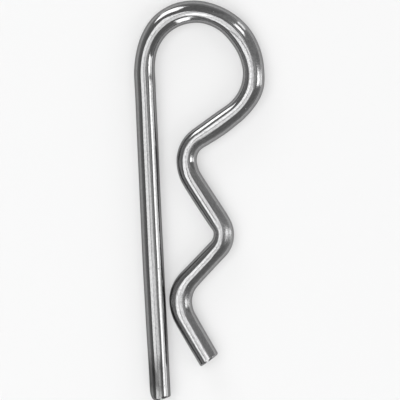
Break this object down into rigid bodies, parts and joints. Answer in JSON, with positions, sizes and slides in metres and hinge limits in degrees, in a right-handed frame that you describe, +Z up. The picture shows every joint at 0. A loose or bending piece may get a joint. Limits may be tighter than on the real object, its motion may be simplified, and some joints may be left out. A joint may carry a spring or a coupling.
{
  "type": "hairpin cotter pin",
  "caption": "Hairpin cotter bent from round spring wire: a straight leg for a shaft's cross hole, a round pull loop and a waved leg that grips the shaft.",
  "frame": {"origin": "middle of the clip's footprint, on the surface that it lies on", "axes": "+Y along the straight leg towards the pull loop, +X from the straight leg across to the waved leg, +Z up, square to the clip's plane"},
  "size_m": [0.0246, 0.0746, 0.004],
  "materials": {
    "spring_wire": "bright drawn wire"
  },
  "bodies": {
    "root": {"hairpin_wire": "spring_wire"}
  },
  "joints": []
}
